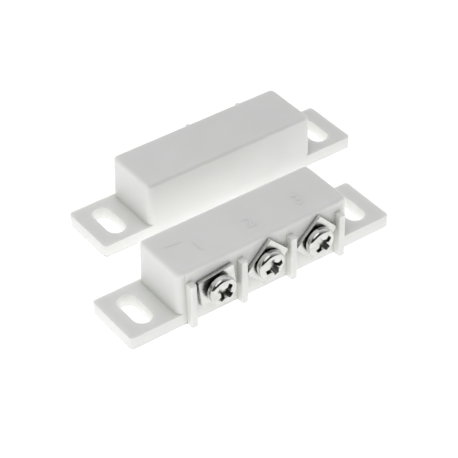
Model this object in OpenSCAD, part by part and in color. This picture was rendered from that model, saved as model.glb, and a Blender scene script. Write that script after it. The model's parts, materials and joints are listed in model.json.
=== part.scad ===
// Surface-mounted magnetic contact: a switch unit with three screw terminals and its magnet unit.
// Origin at the centre of the switch unit's base. X runs along both units, +Y points from the
// switch unit to the magnet unit, and +Z points up from the mounting surface.

/* [Units] */
// Overall length of each unit, over both ears
unit_l = 64; // [60:0.5:72]
// Width of each unit
unit_w = 14; // [13:0.1:16]
// Length of the raised body between the ears
body_l = 42.1; // [41.6:0.1:44]
// Height of the body
body_h = 12.8; // [12.4:0.1:15]
// Thickness of the ears
ear_t = 2.8; // [2:0.1:4]
// Draft angle of the moulded walls above the ears
draft = 1.5; // [0.5:0.1:2]
// Radius of the body's top edges
top_r = 0.8; // [0.4:0.1:1]
// Radius of the body's upright corners
corner_r = 1.4; // [1.1:0.1:1.8]
// Radius of the ears' corners
ear_r = 0.8; // [0.4:0.1:1.5]

/* [Mounting slots] */
// Width of each slot, along the unit
slot_w = 4.2; // [3.5:0.1:4.6]
// Length of each slot with its round ends, across the unit
slot_l = 9.4; // [7:0.1:10]
// Distance from the end of the unit to a slot's centre line
slot_inset = 5.5; // [4.5:0.1:6]

/* [Shells] */
// Thickness of the end and back walls
wall_t = 1.4; // [1:0.1:1.6]
// Thickness of the walls that face the terminals or the switch
front_t = 1.6; // [1.2:0.1:1.8]
// Thickness of the top
roof_t = 1.3; // [1:0.1:1.5]
// Depth of the resin's surface inside the bottom rim
resin_recess = 0.4; // [0.2:0.1:0.8]

/* [Pair] */
// Offset of the magnet unit along X
magnet_dx = 11; // [0:0.5:14]
// Distance between the centre lines of the two units
magnet_dy = 26.4; // [20:0.1:35]

/* [Barrier ribs] */
// Thickness of each rib between the terminals
rib_t = 1.45; // [1:0.05:1.5]
// How far the ribs stand out from the front wall
rib_out = 1.75; // [1.2:0.05:2.5]
// How far the ribs end below the top of the body
rib_drop = 2.6; // [1.5:0.1:4]
// Radius of the ribs' front edges
rib_r = 0.25; // [0.1:0.05:0.4]

/* [Terminals] */
// Width of front wall left outside each end rib
end_strip = 2.1; // [1.4:0.05:2.2]
// Clearance hole in the front wall
wall_hole_d = 3.5; // [3.3:0.1:4]
// Diameter of the screw shank
shank_d = 2.9; // [2.7:0.05:2.9]
// Diameter of the tapped hole in each lug
lug_bore_d = 3; // [3:0.05:3.1]
// Length of the screws under the head
shank_l = 6; // [5.6:0.1:6.2]
// Diameter of the screw heads
head_d = 6.2; // [5.4:0.1:6.4]
// Height of the screw heads
head_t = 2; // [1.8:0.1:2.4]
// Radius of the pan heads' edge
head_r = 0.8; // [0.5:0.1:1]
// Radius of the pan heads' domed top
dome_r = 7; // [5:0.5:10]
// Chamfer at the screws' tips
tip_chamfer = 0.4; // [0.2:0.1:0.6]
// Gap between head and clamp plate at terminal 1
head_gap_1 = 0.85; // [0.3:0.05:1]
// Gap between head and clamp plate at terminal 2
head_gap_2 = 0.4; // [0.3:0.05:1]
// Gap between head and clamp plate at terminal 3
head_gap_3 = 0.6; // [0.3:0.05:1]
// Turn of the cross recess at terminal 1
recess_turn_1 = 48; // [0:1:89]
// Turn of the cross recess at terminal 2
recess_turn_2 = 18; // [0:1:89]
// Turn of the cross recess at terminal 3
recess_turn_3 = 37; // [0:1:89]

/* [Cross recess] */
// Width across the recess at the height of the head's crown
recess_across = 4.6; // [3.6:0.1:4.8]
// Width of one arm
recess_arm_w = 1.15; // [0.8:0.05:1.3]
// Depth at the centre
recess_depth = 1.5; // [1:0.1:1.6]
// Diameter of the funnel between the arms
recess_funnel_d = 2.6; // [1.8:0.1:2.8]
// Share of the recess's size that is left at its bottom
recess_taper = 0.45; // [0.3:0.05:0.7]

/* [Clamp plates] */
// Length of a clamp plate
plate_l = 8.4; // [8:0.1:8.7]
// Width of a clamp plate
plate_w = 6.3; // [5.4:0.1:6.6]
// Thickness of a clamp plate
plate_t = 1; // [0.8:0.1:1.1]
// Hole in a clamp plate
plate_hole_d = 3.3; // [3.1:0.1:3.8]
// Radius of the plates' corners
plate_r = 0.3; // [0.1:0.05:0.6]
// Turn of the plate at terminal 1
plate_turn_1 = 7; // [-10:1:90]
// Turn of the plate at terminal 2
plate_turn_2 = 45; // [-10:1:90]
// Turn of the plate at terminal 3
plate_turn_3 = 43; // [-10:1:90]

/* [Lugs] */
// Width of the tapped lug
lug_w = 7; // [6:0.1:8]
// Resin left between the lugs and the roof of the housing
lug_cover = 1.6; // [0.8:0.1:2]
// Thickness of the lug
lug_t = 1.2; // [1:0.1:1.5]
// Width of the solder tail under the lug
tail_w = 2.4; // [2:0.1:3]
// Length of the solder tail
tail_l = 2.2; // [2:0.1:2.6]
// Height of the solder tail's end above the base
tail_rise = 1.6; // [1.2:0.1:2]
// Diameter of the solder bead at the tail
bead_d = 1.9; // [1.5:0.1:2.1]
// Diameter of the solder bead where it runs out on the lead
bead_tip_d = 0.9; // [0.7:0.1:1.2]
// Height of the solder bead
bead_h = 1; // [0.6:0.1:1.4]

/* [Reed switch] */
// Length of the glass capsule
glass_l = 14; // [13:0.5:16]
// Outside diameter of the glass capsule
glass_d = 2.6; // [2.4:0.1:2.8]
// Thickness of the glass
glass_t = 0.3; // [0.2:0.05:0.35]
// Length of the solid glass seal at each end
seal_l = 1.6; // [1:0.1:2]
// Distance from the capsule's axis to the back wall's outside
glass_back = 4.2; // [3.9:0.1:5]
// How far the capsule's axis lies below the screw axes
glass_drop = 0.7; // [0:0.1:1]
// Diameter of the leads
lead_d = 0.5; // [0.4:0.05:0.5]
// Thickness of the blades
blade_t = 0.2; // [0.15:0.05:0.2]
// Width of the blades
blade_w = 1.1; // [0.8:0.1:1.1]
// Distance from the common blade's middle to the other two leads
lead_step = 0.5; // [0.45:0.05:0.55]
// Length over which the blades lie over each other
blade_lap = 3; // [2:0.5:4]
// Distance by which the returning lead runs past the capsule's end
lead_run = 1.4; // [1:0.1:2.5]
// Gap from the returning lead to the capsule
lead_clear = 0.8; // [0.5:0.1:1]

/* [Magnet] */
// Length of the bar magnet
magnet_l = 30; // [24:1:36]
// Width and height of the bar magnet
magnet_s = 6.4; // [5:0.2:8]
// Radius of the magnet's long edges
magnet_r = 0.4; // [0.2:0.1:0.8]
// Radius of the two small ribs on the magnet unit's far wall
far_rib_r = 0.5; // [0.3:0.05:0.7]
// Place of the first far rib from the unit's centre
far_rib_x1 = -1.6; // [-10:0.1:4]
// Place of the second far rib from the unit's centre
far_rib_x2 = 11.5; // [6:0.1:16]

/* [Hidden] */
$fn = 64;
over = 1;
// A bite that joins two shapes of one moulding
bite = 0.3;
// How far the round top edge stands proud of the leaning wall
edge_proud = 0.01;

front_y = -unit_w / 2;
lug_y = front_y + front_t;
tail_y = lug_y + lug_t;
plate_y = front_y - plate_t;
cavity_l = body_l - 2 * wall_t;
cavity_w = unit_w - front_t - wall_t;
cavity_y = (front_t - wall_t) / 2;
cavity_top = body_h - roof_t;

terminal_pitch = (body_l - 2 * end_strip - rib_t) / 3;
terminal_x = [-terminal_pitch, 0, terminal_pitch];
lug_z = tail_rise + tail_l;
lug_h = cavity_top - lug_cover - lug_z;
screw_z = lug_z + lug_h / 2;
head_gap = [head_gap_1, head_gap_2, head_gap_3];
recess_turn = [recess_turn_1, recess_turn_2, recess_turn_3];
plate_turn = [plate_turn_1, plate_turn_2, plate_turn_3];

// A tightened screw reaches this far in, and the resin leaves a pocket for it
pocket_clear = 0.3;
pocket_y = plate_y + shank_l + pocket_clear;
pocket_d = shank_d + 2 * pocket_clear;

glass_y = unit_w / 2 - glass_back;
glass_z = screw_z - glass_drop;
nc_z = glass_z + lead_step;
no_z = glass_z - lead_step;
solder_z = tail_rise + bead_d / 2;
return_y = glass_y - glass_d / 2 - lead_clear - lead_d / 2;
return_x = glass_l / 2 + lead_run;
blade_root = glass_l / 2 - seal_l / 2;

magnet_y = front_y + front_t + magnet_s / 2;
magnet_z = cavity_top - magnet_s / 2;
far_rib_y = unit_w / 2 - (body_h - ear_t) * tan(draft);
far_rib_h = body_h - top_r / 2;

// Centres of the head's dome and of its round edge, and the point where they meet
dome_z = head_t - dome_r;
edge_x = head_d / 2 - head_r;
edge_z = dome_z + sqrt(pow(dome_r - head_r, 2) - pow(edge_x, 2));
dome_share = dome_r / (dome_r - head_r);
meet_x = edge_x * dome_share;
meet_z = dome_z + (edge_z - dome_z) * dome_share;

// Outline of a rectangle with round corners, centred on the origin
module round_rect(l, w, r) {
    square([l - 2 * r, w], center = true);
    square([l, w - 2 * r], center = true);
    for (sx = [-1, 1]) {
        for (sy = [-1, 1]) {
            translate([sx * (l / 2 - r), sy * (w / 2 - r)])
                circle(r);
        }
    }
}

// Half outline of a leaning wall on the +x side: upright beside the ears, round at the top, where
// the round edge stands proud of the wall by a hair, so that the two cross cleanly
module wall_half(half) {
    wall_x = half - (body_h - top_r - ear_t) * tan(draft);
    edge = [wall_x - top_r + edge_proud, body_h - top_r];
    polygon([
        [0, 0], [half, 0], [half, ear_t], [wall_x, edge[1]], [edge[0], body_h], [0, body_h]
    ]);
    translate(edge)
        intersection() {
            circle(top_r);
            translate([0, -top_r])
                square([top_r, 2 * top_r]);
        }
}

// Straight walls of a body in the directions of two opposite turns
module straight_walls(turns, out, length) {
    for (a = turns) {
        rotate(a)
            translate([out / 2 - corner_r, 0, 0])
                rotate([90, 0, 0])
                    linear_extrude(length - 2 * corner_r, center = true)
                        wall_half(corner_r);
    }
}

// Body of a unit: core, straight walls and the same wall turned round each upright corner
module body_block() {
    translate([corner_r - body_l / 2, corner_r - unit_w / 2, 0])
        cube([body_l - 2 * corner_r, unit_w - 2 * corner_r, body_h]);
    straight_walls([0, 180], body_l, unit_w);
    straight_walls([90, 270], unit_w, body_l);
    for (c = [[1, 1, 0], [-1, 1, 90], [-1, -1, 180], [1, -1, 270]]) {
        translate([c[0] * (body_l / 2 - corner_r), c[1] * (unit_w / 2 - corner_r), 0])
            rotate(c[2])
                rotate_extrude(angle = 90)
                    wall_half(corner_r);
    }
}

// Upright front wall behind the terminals, where the clamp plates lie flat
module terminal_wall() {
    rotate([90, 0, -90])
        linear_extrude(3 * terminal_pitch + rib_t, center = true) {
            square([unit_w / 2, body_h - top_r]);
            square([unit_w / 2 - top_r, body_h]);
            translate([unit_w / 2 - top_r, body_h - top_r])
                intersection() {
                    circle(top_r);
                    square(top_r);
                }
        }
}

// One slot with round ends, across the ear
module slot_cut(x) {
    translate([x, 0, -over])
        linear_extrude(ear_t + 2 * over)
            union() {
                square([slot_w, slot_l - slot_w], center = true);
                for (s = [-1, 1]) {
                    translate([0, s * (slot_l - slot_w) / 2])
                        circle(d = slot_w);
                }
            }
}

// Space inside a body, open at the bottom
module cavity(bottom) {
    translate([0, cavity_y, bottom])
        linear_extrude(cavity_top - bottom)
            round_rect(cavity_l, cavity_w, corner_r);
}

// Shell of a unit: body and ears, hollow from below, with a slot in each ear
module shell() {
    difference() {
        union() {
            body_block();
            children();
            linear_extrude(ear_t)
                round_rect(unit_l, unit_w, ear_r);
        }
        cavity(-over);
        for (s = [-1, 1]) {
            slot_cut(s * (unit_l / 2 - slot_inset));
        }
    }
}

// Round bar along -Y from a height y0, on a terminal's axis
module axis_bar(i, y0, l, d) {
    translate([terminal_x[i], y0, screw_z])
        rotate([90, 0, 0])
            cylinder(h = l, d = d);
}

// Barrier rib on the front wall
module barrier_rib(x) {
    translate([x, front_y + bite / 2 - rib_out / 2, 0])
        linear_extrude(body_h - rib_drop)
            union() {
                square([rib_t - 2 * rib_r, rib_out + bite], center = true);
                translate([0, rib_r / 2])
                    square([rib_t, rib_out + bite - rib_r], center = true);
                for (s = [-1, 1]) {
                    translate([s * (rib_t / 2 - rib_r), rib_r - (rib_out + bite) / 2])
                        circle(rib_r);
                }
            }
}

// Straight piece of lead wire between two points, with round ends
module lead_piece(a, b) {
    d = b - a;
    len = norm(d);
    translate(a)
        rotate([0, acos(d[2] / len), atan2(d[1], d[0])])
            cylinder(h = len, d = lead_d);
}

// Lead wire through a list of points, with round elbows
module lead(points) {
    for (i = [0 : len(points) - 2]) {
        lead_piece(points[i], points[i + 1]);
    }
    for (i = [1 : len(points) - 2]) {
        translate(points[i])
            sphere(d = lead_d);
    }
}

// Flat blade in the capsule, from x0 to x1
module blade(x0, x1, z) {
    translate([x0, glass_y - blade_w / 2, z - blade_t / 2])
        cube([x1 - x0, blade_w, blade_t]);
}

module common_shape() {
    lead([
        [lead_d - blade_root, glass_y, glass_z],
        [terminal_x[0], glass_y, glass_z],
        [terminal_x[0], glass_y, solder_z],
        [terminal_x[0], tail_y, solder_z]
    ]);
    blade(-blade_root, blade_lap / 2, glass_z);
}

module nc_shape() {
    lead([
        [blade_root, glass_y, nc_z],
        [return_x, glass_y, nc_z],
        [return_x, return_y, nc_z],
        [return_x, return_y, solder_z],
        [terminal_x[1], return_y, solder_z],
        [terminal_x[1], tail_y, solder_z]
    ]);
    blade(-blade_lap / 2, blade_root + lead_d, glass_z + blade_t);
    translate([blade_root, glass_y - blade_w / 2, glass_z + blade_t / 2])
        cube([lead_d, blade_w, nc_z - glass_z - blade_t / 2]);
}

module no_shape() {
    lead([
        [blade_root, glass_y, no_z],
        [terminal_x[2], glass_y, no_z],
        [terminal_x[2], glass_y, solder_z],
        [terminal_x[2], tail_y, solder_z]
    ]);
    blade(-blade_lap / 2, blade_root + lead_d, no_z);
}

// Outside of the capsule
module glass_outside() {
    translate([-glass_l / 2, glass_y, glass_z])
        rotate([0, 90, 0])
            cylinder(h = glass_l, d = glass_d);
}

module lug_shape(i) {
    x = terminal_x[i];
    translate([x - lug_w / 2, lug_y, lug_z])
        cube([lug_w, lug_t, lug_h]);
    translate([x - tail_w / 2, lug_y, tail_rise])
        cube([tail_w, lug_t, tail_l + bite]);
}

module bead_shape(i) {
    translate([terminal_x[i], tail_y, solder_z])
        rotate([-90, 0, 0])
            cylinder(h = bead_h, d1 = bead_d, d2 = bead_tip_d);
}

module leads() {
    common_shape();
    nc_shape();
    no_shape();
}

// Bar magnet in its unit's own place
module magnet_shape() {
    rotate([90, 0, 90])
        linear_extrude(magnet_l, center = true)
            translate([magnet_y, magnet_z])
                round_rect(magnet_s, magnet_s, magnet_r);
}

// Cross recess, cut downwards from z = 0
module cross_recess() {
    for (a = [0, 90]) {
        rotate([90, 0, a])
            linear_extrude(recess_arm_w, center = true)
                polygon([
                    [-recess_across / 2, over],
                    [-recess_across / 2, 0],
                    [-recess_across / 2 * recess_taper, -recess_depth],
                    [recess_across / 2 * recess_taper, -recess_depth],
                    [recess_across / 2, 0],
                    [recess_across / 2, over]
                ]);
    }
    translate([0, 0, -recess_depth])
        cylinder(h = recess_depth, d1 = recess_funnel_d * recess_taper, d2 = recess_funnel_d);
    cylinder(h = over, d = recess_funnel_d);
}

// Half outline of the pan head: domed top, round edge and upright side
module head_half() {
    square([head_d / 2, edge_z]);
    intersection() {
        translate([0, dome_z])
            circle(dome_r);
        polygon([
            [0, 0], [edge_x, 0], [edge_x, edge_z], [meet_x, meet_z], [meet_x, head_t], [0, head_t]
        ]);
    }
    intersection() {
        translate([edge_x, edge_z])
            circle(head_r);
        translate([edge_x, edge_z])
            square(head_r);
    }
}

// Pan head screw along z, with the underside of its head at z = 0
module pan_screw() {
    difference() {
        union() {
            rotate_extrude()
                head_half();
            translate([0, 0, tip_chamfer - shank_l])
                cylinder(h = shank_l - tip_chamfer + bite, d = shank_d);
            translate([0, 0, -shank_l])
                cylinder(h = tip_chamfer, d1 = shank_d - 2 * tip_chamfer, d2 = shank_d);
        }
        translate([0, 0, head_t])
            cross_recess();
    }
}

module switch_housing() {
    color("white")
        difference() {
            union() {
                shell()
                    terminal_wall();
                for (k = [-3 : 2 : 3]) {
                    barrier_rib(k * terminal_pitch / 2);
                }
            }
            for (i = [0 : 2]) {
                axis_bar(i, lug_y + over, front_t + 2 * over, wall_hole_d);
            }
        }
}

module switch_potting() {
    color("gainsboro")
        difference() {
            cavity(resin_recess);
            glass_outside();
            leads();
            for (i = [0 : 2]) {
                lug_shape(i);
                bead_shape(i);
                axis_bar(i, pocket_y, pocket_y - lug_y, pocket_d);
            }
        }
}

module glass_capsule() {
    color("paleturquoise")
        difference() {
            glass_outside();
            translate([seal_l - glass_l / 2, glass_y, glass_z])
                rotate([0, 90, 0])
                    cylinder(h = glass_l - 2 * seal_l, d = glass_d - 2 * glass_t);
            leads();
        }
}

module common_reed() {
    color("silver")
        common_shape();
}

module nc_contact() {
    color("silver")
        nc_shape();
}

module no_contact() {
    color("silver")
        no_shape();
}

module terminal_lug(i) {
    color("goldenrod")
        difference() {
            lug_shape(i);
            axis_bar(i, tail_y + over, lug_t + 2 * over, lug_bore_d);
        }
}

module solder_joint(i) {
    color("lightgray")
        difference() {
            bead_shape(i);
            translate([terminal_x[i], tail_y - over, solder_z])
                rotate([-90, 0, 0])
                    cylinder(h = bead_h + 2 * over, d = lead_d);
        }
}

module clamp_plate(i) {
    color("silver")
        translate([terminal_x[i], front_y, screw_z])
            rotate([90, 0, 0])
                rotate(plate_turn[i])
                    difference() {
                        linear_extrude(plate_t)
                            round_rect(plate_l, plate_w, plate_r);
                        translate([0, 0, -over])
                            cylinder(h = plate_t + 2 * over, d = plate_hole_d);
                    }
}

module terminal_screw(i) {
    color("lightsteelblue")
        translate([terminal_x[i], plate_y - head_gap[i], screw_z])
            rotate([90, 0, 0])
                rotate(recess_turn[i])
                    pan_screw();
}

module magnet_housing() {
    color("white")
        translate([magnet_dx, magnet_dy, 0]) {
            difference() {
                union() {
                    shell();
                    for (x = [far_rib_x1, far_rib_x2]) {
                        translate([x, far_rib_y, 0])
                            cylinder(h = far_rib_h, r = far_rib_r);
                    }
                }
                cavity(-over);
            }
        }
}

module bar_magnet() {
    color("dimgray")
        translate([magnet_dx, magnet_dy, 0])
            magnet_shape();
}

module magnet_potting() {
    color("gainsboro")
        translate([magnet_dx, magnet_dy, 0])
            difference() {
                cavity(resin_recess);
                magnet_shape();
            }
}

switch_housing();
switch_potting();
glass_capsule();
common_reed();
nc_contact();
no_contact();
terminal_lug(0);  // terminal_lug_1
terminal_lug(1);  // terminal_lug_2
terminal_lug(2);  // terminal_lug_3
solder_joint(0);  // solder_joint_1
solder_joint(1);  // solder_joint_2
solder_joint(2);  // solder_joint_3
clamp_plate(0);  // clamp_plate_1
clamp_plate(1);  // clamp_plate_2
clamp_plate(2);  // clamp_plate_3
terminal_screw(0);  // terminal_screw_1
terminal_screw(1);  // terminal_screw_2
terminal_screw(2);  // terminal_screw_3
magnet_housing();
bar_magnet();
magnet_potting();
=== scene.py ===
import json
import math

import bmesh
import bpy
from mathutils import Matrix, Vector

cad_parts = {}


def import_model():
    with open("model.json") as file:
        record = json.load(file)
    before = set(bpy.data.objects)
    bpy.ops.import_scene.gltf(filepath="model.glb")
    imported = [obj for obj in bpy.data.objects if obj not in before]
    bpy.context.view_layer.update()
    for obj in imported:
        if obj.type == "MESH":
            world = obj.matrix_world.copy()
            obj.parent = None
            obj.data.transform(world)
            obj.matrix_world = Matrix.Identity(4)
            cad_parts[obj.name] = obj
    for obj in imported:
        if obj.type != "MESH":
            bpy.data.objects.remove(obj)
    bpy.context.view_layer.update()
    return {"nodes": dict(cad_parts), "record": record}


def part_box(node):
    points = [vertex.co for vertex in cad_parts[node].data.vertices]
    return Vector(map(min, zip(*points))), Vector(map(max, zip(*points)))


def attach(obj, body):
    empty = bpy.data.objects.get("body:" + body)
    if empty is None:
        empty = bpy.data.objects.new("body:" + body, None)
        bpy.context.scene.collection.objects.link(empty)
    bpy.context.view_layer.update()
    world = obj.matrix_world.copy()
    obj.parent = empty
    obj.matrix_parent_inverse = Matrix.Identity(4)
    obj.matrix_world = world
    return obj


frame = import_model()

MM = 0.001

# Photograph: camera found from the edges of both units
CAM_AZIMUTH = -35.06
CAM_ELEVATION = 38.95
CAM_ROLL = -1.13
CAM_TARGET = Vector((4.72, 11.93, 0.0)) * MM
CAM_DISTANCE = 365.218 * MM
CAM_FOCAL_PX = 1751.2
CAM_CLIP = 10 * MM
IMAGE_PX = 458
SENSOR_MM = 36.0

# White floor: its light on the parts, also close to their edges, in reflections and as seen.
# It gives no light where the parts stand on it. The two spans say how open to the sky a place
# is where its light rises from none, and where it falls from the near to the plain light.
FLOOR_HALF = 3.0
FLOOR_DROP = 0.02 * MM
FLOOR_GLOW = 1.18
FLOOR_NEAR = 1.9
FLOOR_SHINE = 0.85
FLOOR_WHITE = 0.90
FLOOR_REACH = 2.5 * MM
FLOOR_RAYS = 8
FLOOR_RISE = (0.2, 0.4)
FLOOR_FALL = (0.5, 0.95)
FLOOR_GREY = (0.35, 0.35, 0.345, 1)
FLOOR_TINT = (1.0, 1.0, 0.993, 1)

# Sky: strengths towards the camera and away from it, as soft light and in reflections
SKY_DARK = 0.25
SKY_BACK = 0.74
SKY_TURN = math.radians(-10)
SKY_SPAN = (-0.6, 0.5)
SKY_TINT = (0.985, 0.987, 1.0, 1)
SHINE_DARK = 0.02
SHINE_BACK = 0.80
SHINE_TURN = math.radians(-35)

# Soft lamp on the left, above the camera
LAMP_AZIMUTH = -50
LAMP_ELEVATION = 62
LAMP_DISTANCE = 0.26
LAMP_SIZE = 0.26
LAMP_POWER = 0.168

# Painted shade: the metal is darkened to near black where faces stand close, in recesses and
# between the metal pieces
PAINTED_CREVICE_SHADE = (0.012, 0.012, 0.010)
CREVICE_REACH = 1.2 * MM
CREVICE_RAYS = 12
CREVICE_SPAN = (0.35, 0.85)

# White plastic: painted shade in its inner corners, and light spread inside it
CORNER_SHADE = (0.71, 0.722, 0.67)
CORNER_REACH = 5.0 * MM
PLASTIC_DEPTH = 0.7
PLASTIC_RADIUS = (1.0, 0.97, 0.91)
PLASTIC_SCALE = 1.2 * MM
PLASTIC_EDGE = 0.12 * MM
PLASTIC_IOR = 1.5

# Surfaces: middle part of the noise that is used, height of the grain, rounding of edges
NOISE_SPAN = (0.3, 0.7)
GRAIN_HEIGHT = 0.05 * MM
METAL_EDGE = 0.08 * MM
EDGE_RAYS = 4

SCREWS = ("1", "2", "3")
TOP_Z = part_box("switch_housing")[1][2]

# Raised numerals beside the terminals, with the share of the font's size that a digit takes
NUMERAL_H = 3.2 * MM
DIGIT_SHARE = 0.7
NUMERAL_RELIEF = 0.04 * MM
NUMERAL_ROOT = 0.06 * MM
NUMERAL_ROUND = 0.04 * MM
NUMERAL_Y = -1.7 * MM

# Short raised bar on the left of the same top
BAR_ENDS = ((-17.7 * MM, 1.8 * MM), (-14.5 * MM, 1.4 * MM))
BAR_W = 0.25 * MM
BAR_RELIEF = 0.03 * MM

# Screw thread in the gap under each head
THREAD_PITCH = 0.5 * MM
THREAD_STEPS = 36
THREAD_DEPTH = 0.12 * MM
THREAD_SINK = 0.03 * MM
THREAD_FOOT = 0.45 * THREAD_PITCH
HEAD_T = 2.0 * MM
SHANK_R = 1.45 * MM
TIP_CHAMFER = 0.4 * MM


# Node helpers
def new_material(name):
    mat = bpy.data.materials.new(name)
    mat.use_nodes = True
    nodes = mat.node_tree.nodes
    nodes.clear()
    out = nodes.new("ShaderNodeOutputMaterial")
    bsdf = nodes.new("ShaderNodeBsdfPrincipled")
    mat.node_tree.links.new(bsdf.outputs["BSDF"], out.inputs["Surface"])
    return mat, nodes, mat.node_tree.links, bsdf


def noise(nodes, links, coord, scale, detail=3.0, rough=0.5):
    tex = nodes.new("ShaderNodeTexNoise")
    tex.inputs["Scale"].default_value = scale
    tex.inputs["Detail"].default_value = detail
    tex.inputs["Roughness"].default_value = rough
    links.new(coord, tex.inputs["Vector"])
    return tex.outputs["Fac"]


def spread(nodes, links, value, low, high, span):
    """Value that goes from low to high while the first one crosses the span."""
    ramp = nodes.new("ShaderNodeMapRange")
    ramp.inputs["From Min"].default_value = span[0]
    ramp.inputs["From Max"].default_value = span[1]
    ramp.inputs["To Min"].default_value = low
    ramp.inputs["To Max"].default_value = high
    links.new(value, ramp.inputs["Value"])
    return ramp.outputs["Result"]


def pick(nodes, links, factor, first, second):
    """First value where the factor is 0 and the second where it is 1."""
    mix = nodes.new("ShaderNodeMix")
    mix.data_type = "FLOAT"
    links.new(factor, mix.inputs["Factor"])
    for name, value in (("A", first), ("B", second)):
        if isinstance(value, float):
            mix.inputs[name].default_value = value
        else:
            links.new(value, mix.inputs[name])
    return mix.outputs["Result"]


def times(nodes, links, first, second):
    node = nodes.new("ShaderNodeMath")
    node.operation = "MULTIPLY"
    links.new(first, node.inputs[0])
    links.new(second, node.inputs[1])
    return node.outputs["Value"]


def tint(nodes, links, value, dark, light):
    ramp = nodes.new("ShaderNodeValToRGB")
    for stop, place, color in zip(ramp.color_ramp.elements, NOISE_SPAN, (dark, light)):
        stop.position = place
        stop.color = (*color, 1)
    links.new(value, ramp.inputs["Fac"])
    return ramp.outputs["Color"]


def bump(nodes, links, height, strength, distance, normal=None):
    node = nodes.new("ShaderNodeBump")
    node.inputs["Strength"].default_value = strength
    node.inputs["Distance"].default_value = distance
    links.new(height, node.inputs["Height"])
    if normal is not None:
        links.new(normal, node.inputs["Normal"])
    return node.outputs["Normal"]


def crevice(nodes, links, color, reach, shade, own):
    """Colour darkened to a painted shade where faces stand close, or only the piece's own faces.
    """
    open_sky = nodes.new("ShaderNodeAmbientOcclusion")
    open_sky.samples = CREVICE_RAYS
    open_sky.only_local = own
    open_sky.inputs["Distance"].default_value = reach
    factor = spread(nodes, links, open_sky.outputs["AO"], 0.0, 1.0, CREVICE_SPAN)
    mix = nodes.new("ShaderNodeMix")
    mix.data_type = "RGBA"
    links.new(factor, mix.inputs["Factor"])
    # A Mix node's colours are its inputs 6 and 7 and its output 2
    mix.inputs[6].default_value = (*shade, 1)
    links.new(color, mix.inputs[7])
    return mix.outputs[2]


def soft_edge(nodes, radius):
    node = nodes.new("ShaderNodeBevel")
    node.samples = EDGE_RAYS
    node.inputs["Radius"].default_value = radius
    return node.outputs["Normal"]


def surface(name, dark, light, rough, metallic=0.0, patch=120.0, grain=3000.0,
            grain_strength=0.05, edge=0.0, reach=0.0, shade=PAINTED_CREVICE_SHADE, own=False):
    """Material with a faint two-tone drift, uneven roughness and a fine grain."""
    mat, nodes, links, bsdf = new_material(name)
    coord = nodes.new("ShaderNodeTexCoord").outputs["Object"]
    drift = noise(nodes, links, coord, patch, 4.0)
    color = tint(nodes, links, drift, dark, light)
    # Painted shade: with a reach, the colour darkens where faces stand close
    if reach:
        color = crevice(nodes, links, color, reach, shade, own)
    links.new(color, bsdf.inputs["Base Color"])
    smear = noise(nodes, links, coord, patch * 4, 5.0, 0.6)
    links.new(spread(nodes, links, smear, *rough, NOISE_SPAN), bsdf.inputs["Roughness"])
    fine = noise(nodes, links, coord, grain, 2.0)
    base = soft_edge(nodes, edge) if edge else None
    links.new(bump(nodes, links, fine, grain_strength, GRAIN_HEIGHT, base),
              bsdf.inputs["Normal"])
    bsdf.inputs["Metallic"].default_value = metallic
    return mat, bsdf


def white_plastic(name, depth, edge, reach):
    """White moulded plastic with painted shade in its inner corners. The low marks take no
    depth, no soft edge and no painted corner shade.
    """
    mat, bsdf = surface(name, (0.81, 0.81, 0.795), (0.84, 0.84, 0.825), (0.42, 0.52),
                        grain=4500.0, grain_strength=0.12, edge=edge, reach=reach,
                        shade=CORNER_SHADE, own=True)
    bsdf.inputs["Subsurface Weight"].default_value = depth
    bsdf.inputs["Subsurface Radius"].default_value = PLASTIC_RADIUS
    bsdf.inputs["Subsurface Scale"].default_value = PLASTIC_SCALE
    bsdf.inputs["IOR"].default_value = PLASTIC_IOR
    return mat


def resin():
    mat, bsdf = surface("resin", (0.62, 0.60, 0.54), (0.70, 0.68, 0.62), (0.25, 0.5),
                        patch=90.0, grain=900.0, grain_strength=0.2)
    bsdf.inputs["Subsurface Weight"].default_value = 0.15
    bsdf.inputs["Subsurface Scale"].default_value = 1.0 * MM
    return mat


def reed_glass():
    mat, bsdf = surface("reed_glass", (0.62, 0.80, 0.70), (0.70, 0.86, 0.77), (0.02, 0.06),
                        grain=600.0, grain_strength=0.02)
    bsdf.inputs["Transmission Weight"].default_value = 0.9
    bsdf.inputs["IOR"].default_value = 1.5
    return mat


def metal(name, dark, light, rough, metallic=1.0, **rest):
    return surface(name, dark, light, rough, metallic, **rest)[0]


def build_materials():
    return {
        "white_plastic": white_plastic("white_plastic", PLASTIC_DEPTH, PLASTIC_EDGE,
                                       CORNER_REACH),
        "white_relief": white_plastic("white_relief", 0.0, 0.0, 0.0),
        # The nickel screws and plates take painted shade where faces stand close
        "screw_nickel": metal("screw_nickel", (0.66, 0.66, 0.64), (0.78, 0.78, 0.76),
                              (0.10, 0.22), patch=500.0, grain=6000.0, grain_strength=0.04,
                              edge=METAL_EDGE, reach=CREVICE_REACH),
        "plate_nickel": metal("plate_nickel", (0.68, 0.68, 0.66), (0.79, 0.79, 0.77),
                              (0.22, 0.36), patch=300.0, grain=5000.0, grain_strength=0.06,
                              edge=METAL_EDGE, reach=CREVICE_REACH),
        "resin": resin(),
        "reed_glass": reed_glass(),
        "reed_alloy": metal("reed_alloy", (0.60, 0.60, 0.62), (0.68, 0.68, 0.70), (0.25, 0.4),
                            patch=400.0),
        "lug_brass": metal("lug_brass", (0.70, 0.52, 0.24), (0.80, 0.62, 0.32), (0.25, 0.4),
                           patch=300.0),
        "solder": metal("solder", (0.58, 0.58, 0.60), (0.68, 0.68, 0.70), (0.2, 0.45),
                        patch=500.0),
        "magnet_steel": metal("magnet_steel", (0.12, 0.12, 0.125), (0.18, 0.18, 0.185),
                              (0.5, 0.7), 0.6, patch=200.0),
    }


def dress_nodes(materials):
    for part in frame["record"]["subparts"]:
        obj = frame["nodes"][part["node"]]
        mat = materials[part["material_slot"]]
        obj.data.materials.clear()
        obj.data.materials.append(mat)


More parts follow.
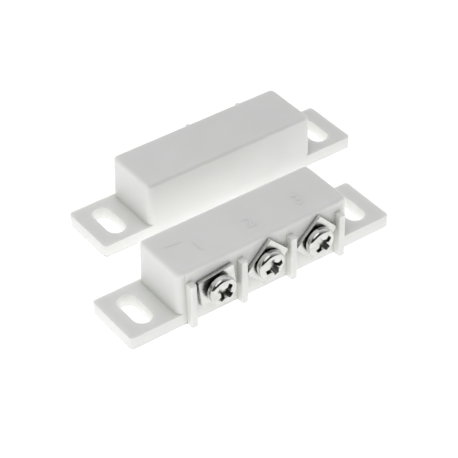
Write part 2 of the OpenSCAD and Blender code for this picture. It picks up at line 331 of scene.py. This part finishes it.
# Added pieces
def add_mesh(name, bm, material, body):
    bmesh.ops.recalc_face_normals(bm, faces=bm.faces)
    mesh = bpy.data.meshes.new(name)
    bm.to_mesh(mesh)
    bm.free()
    mesh.materials.append(material)
    obj = bpy.data.objects.new(name, mesh)
    bpy.context.scene.collection.objects.link(obj)
    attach(obj, body)


def numeral(text, x, material):
    """Low-relief numeral on the top of the switch unit, read from the terminals' side."""
    curve = bpy.data.curves.new("numeral_curve_" + text, "FONT")
    curve.body = text
    curve.size = NUMERAL_H / DIGIT_SHARE
    curve.align_x = "CENTER"
    curve.align_y = "CENTER"
    half = (NUMERAL_RELIEF + NUMERAL_ROOT) / 2
    curve.extrude = half - NUMERAL_ROUND
    curve.bevel_depth = NUMERAL_ROUND
    curve.bevel_resolution = 2
    curve.resolution_u = 6
    temp = bpy.data.objects.new("numeral_temp_" + text, curve)
    bpy.context.scene.collection.objects.link(temp)
    bpy.context.view_layer.update()
    graph = bpy.context.evaluated_depsgraph_get()
    mesh = bpy.data.meshes.new_from_object(temp.evaluated_get(graph))
    bpy.data.objects.remove(temp)
    bpy.data.curves.remove(curve)
    mesh.transform(Matrix.Translation((x, NUMERAL_Y, TOP_Z + NUMERAL_RELIEF - half)))
    mesh.materials.clear()
    mesh.materials.append(material)
    obj = bpy.data.objects.new("numeral_" + text, mesh)
    bpy.context.scene.collection.objects.link(obj)
    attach(obj, "root")


def raised_bar(material):
    """Plain low bar on the top of the switch unit."""
    a, b = (Vector((*end, TOP_Z)) for end in BAR_ENDS)
    along = (b - a).normalized() * BAR_W / 2
    across = Vector((-along.y, along.x, 0))
    bm = bmesh.new()
    corners = (a - along - across, b + along - across, b + along + across, a - along + across)
    base = [bm.verts.new(c - Vector((0, 0, BAR_RELIEF))) for c in corners]
    roof = [bm.verts.new(c + Vector((0, 0, BAR_RELIEF))) for c in corners]
    bm.faces.new(roof)
    bm.faces.new(base[::-1])
    for i in range(4):
        j = (i + 1) % 4
        bm.faces.new((base[i], base[j], roof[j], roof[i]))
    add_mesh("raised_bar", bm, material, "root")


def screw_thread(number, material):
    """Helical ridge round the shank of one screw, from its tip to the head."""
    low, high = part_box("terminal_screw_" + number)
    cx, cz = (low[0] + high[0]) / 2, (low[2] + high[2]) / 2
    start = high[1] - TIP_CHAMFER
    end = low[1] + HEAD_T + THREAD_PITCH / 2
    turns = (start - end) / THREAD_PITCH
    count = int(turns * THREAD_STEPS)
    bm = bmesh.new()
    rings = []
    for i in range(count + 1):
        angle = 2 * math.pi * i / THREAD_STEPS
        y = start - THREAD_PITCH * i / THREAD_STEPS
        fade = min(1.0, i / THREAD_STEPS, (count - i) / THREAD_STEPS)
        ring = []
        for dy, rise in ((-THREAD_FOOT, 0.0), (0.0, fade * THREAD_DEPTH), (THREAD_FOOT, 0.0)):
            r = SHANK_R - THREAD_SINK + rise
            ring.append(bm.verts.new((cx + r * math.cos(angle), y + dy,
                                      cz - r * math.sin(angle))))
        rings.append(ring)
    for a, b in zip(rings, rings[1:]):
        for k in range(2):
            bm.faces.new((a[k], a[k + 1], b[k + 1], b[k]))
    add_mesh("screw_thread_" + number, bm, material, "screw_" + number)


# Stage: floor, world, lamp and camera
def floor():
    mesh = bpy.data.meshes.new("floor")
    signs = ((-1, -1), (1, -1), (1, 1), (-1, 1))
    mesh.from_pydata([(x * FLOOR_HALF, y * FLOOR_HALF, 0) for x, y in signs], [], [(0, 1, 2, 3)])
    obj = bpy.data.objects.new("floor", mesh)
    obj.location.z = -FLOOR_DROP
    bpy.context.scene.collection.objects.link(obj)
    mat = bpy.data.materials.new("floor_white")
    mat.use_nodes = True
    nodes, links = mat.node_tree.nodes, mat.node_tree.links
    nodes.clear()
    out = nodes.new("ShaderNodeOutputMaterial")
    matte = nodes.new("ShaderNodeBsdfDiffuse")
    matte.inputs["Color"].default_value = FLOOR_GREY
    glow = nodes.new("ShaderNodeEmission")
    path = nodes.new("ShaderNodeLightPath")
    open_sky = nodes.new("ShaderNodeAmbientOcclusion")
    open_sky.samples = FLOOR_RAYS
    open_sky.inputs["Distance"].default_value = FLOOR_REACH
    opened = open_sky.outputs["AO"]
    rise = spread(nodes, links, opened, 0.0, FLOOR_NEAR, FLOOR_RISE)
    fall = spread(nodes, links, opened, 1.0, FLOOR_GLOW / FLOOR_NEAR, FLOOR_FALL)
    lit = times(nodes, links, rise, fall)
    shine = pick(nodes, links, path.outputs["Is Glossy Ray"], lit, FLOOR_SHINE)
    seen = pick(nodes, links, path.outputs["Is Camera Ray"], shine, FLOOR_WHITE)
    links.new(seen, glow.inputs["Strength"])
    glow.inputs["Color"].default_value = FLOOR_TINT
    both = nodes.new("ShaderNodeAddShader")
    links.new(matte.outputs[0], both.inputs[0])
    links.new(glow.outputs[0], both.inputs[1])
    links.new(both.outputs[0], out.inputs["Surface"])
    mesh.materials.append(mat)


def sky_depth(nodes, links, angle, dark, light):
    """Strength that rises from the dark side, where the camera stands, to the far side."""
    coord = nodes.new("ShaderNodeTexCoord").outputs["Generated"]
    turn = nodes.new("ShaderNodeVectorRotate")
    turn.rotation_type = "Z_AXIS"
    turn.inputs["Angle"].default_value = -angle
    links.new(coord, turn.inputs["Vector"])
    split = nodes.new("ShaderNodeSeparateXYZ")
    links.new(turn.outputs["Vector"], split.inputs["Vector"])
    return spread(nodes, links, split.outputs["Y"], dark, light, SKY_SPAN)


def world():
    sky = bpy.data.worlds.new("studio")
    bpy.context.scene.world = sky
    sky.use_nodes = True
    nodes, links = sky.node_tree.nodes, sky.node_tree.links
    nodes.clear()
    out = nodes.new("ShaderNodeOutputWorld")
    back = nodes.new("ShaderNodeBackground")
    back.inputs["Color"].default_value = SKY_TINT
    path = nodes.new("ShaderNodeLightPath")
    soft = sky_depth(nodes, links, SKY_TURN, SKY_DARK, SKY_BACK)
    shine = sky_depth(nodes, links, SHINE_TURN, SHINE_DARK, SHINE_BACK)
    depth = pick(nodes, links, path.outputs["Is Glossy Ray"], soft, shine)
    seen = pick(nodes, links, path.outputs["Is Camera Ray"], depth, 1.0)
    links.new(seen, back.inputs["Strength"])
    links.new(back.outputs[0], out.inputs["Surface"])


def away_from(azimuth, elevation):
    """Direction from the target to a lamp or camera."""
    a, e = math.radians(azimuth), math.radians(elevation)
    return Vector((math.sin(a) * math.cos(e), -math.cos(a) * math.cos(e), math.sin(e)))


def lamp():
    data = bpy.data.lights.new("top_soft", "AREA")
    data.shape = "DISK"
    data.size = LAMP_SIZE
    data.energy = LAMP_POWER
    obj = bpy.data.objects.new("top_soft", data)
    away = away_from(LAMP_AZIMUTH, LAMP_ELEVATION)
    obj.location = CAM_TARGET + away * LAMP_DISTANCE
    obj.rotation_euler = away.to_track_quat("Z", "Y").to_euler()
    bpy.context.scene.collection.objects.link(obj)


def camera():
    r = math.radians(CAM_ROLL)
    back = away_from(CAM_AZIMUTH, CAM_ELEVATION)
    level = Vector((0, 0, 1)).cross(back).normalized()
    lift = back.cross(level)
    right = level * math.cos(r) + lift * math.sin(r)
    up = lift * math.cos(r) - level * math.sin(r)
    data = bpy.data.cameras.new("camera")
    data.sensor_fit = "HORIZONTAL"
    data.sensor_width = SENSOR_MM
    data.lens = CAM_FOCAL_PX / IMAGE_PX * SENSOR_MM
    data.clip_start = CAM_CLIP
    obj = bpy.data.objects.new("camera", data)
    place = Matrix((right, up, back)).transposed().to_4x4()
    place.translation = CAM_TARGET + back * CAM_DISTANCE
    obj.matrix_world = place
    bpy.context.scene.collection.objects.link(obj)
    bpy.context.scene.camera = obj


bpy.context.scene.view_settings.view_transform = "Standard"
made = build_materials()
dress_nodes(made)
for number in SCREWS:
    low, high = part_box("terminal_screw_" + number)
    numeral(number, (low[0] + high[0]) / 2, made["white_relief"])
    screw_thread(number, made["screw_nickel"])
raised_bar(made["white_relief"])
floor()
world()
lamp()
camera()
